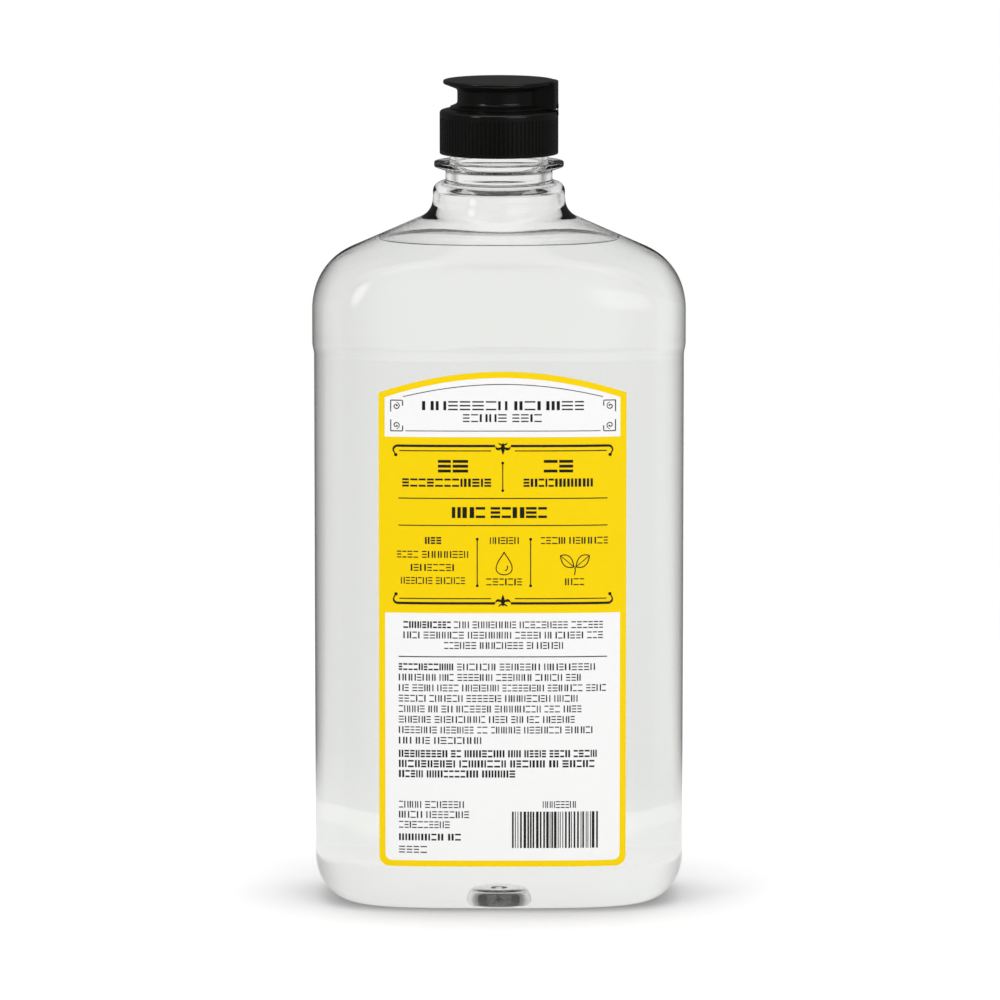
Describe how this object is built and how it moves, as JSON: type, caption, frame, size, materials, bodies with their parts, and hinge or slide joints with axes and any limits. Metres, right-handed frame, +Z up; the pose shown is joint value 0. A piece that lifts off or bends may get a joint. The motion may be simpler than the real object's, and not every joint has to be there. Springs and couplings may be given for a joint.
{
  "type": "dish soap bottle",
  "caption": "Upright clear blown bottle, wide and oval in plan, with liquid soap, a rear label and a black screw-on flip-top cap with a living hinge.",
  "frame": {"origin": "middle of the standing base, on the surface that the bottle stands on", "axes": "+Z up along the neck, +X across the width towards the lid's hinge, -Y out of the panel that carries the label"},
  "size_m": [0.0952, 0.0546, 0.2102],
  "materials": {
    "clear_plastic": "clear blown plastic, glossy",
    "soap": "clear liquid",
    "label_film": "printed self-adhesive film, satin",
    "liner_foam": "white foamed polyethylene",
    "black_plastic": "moulded polypropylene, glossy"
  },
  "bodies": {
    "bottle": {"bottle": "clear_plastic", "liquid_soap": "soap", "back_label": "label_film"},
    "liner": {"cap_liner": "liner_foam"},
    "closure": {"cap_base": "black_plastic", "hinge_web": "black_plastic"},
    "lid": {"cap_lid": "black_plastic"}
  },
  "joints": [
    {"name": "cap_lift", "type": "slide", "parent": "bottle", "child": "liner", "axis": [0, 0, 1], "range_m": [0, 0.0127]},
    {"name": "cap_turn", "type": "hinge", "parent": "liner", "child": "closure", "pos_m": [0, 0, 0.2013], "axis": [0, 0, 1], "range_deg": [0, 1080]},
    {"name": "lid_flip", "type": "hinge", "parent": "closure", "child": "lid", "pos_m": [0.0152, 0, 0.20275], "axis": [0, 1, 0], "range_deg": [0, 150], "deforming": ["hinge_web"]}
  ],
  "couplings": [
    {"joint": "cap_lift", "follows": "cap_turn", "m_per_rad": 0.0006737}
  ]
}
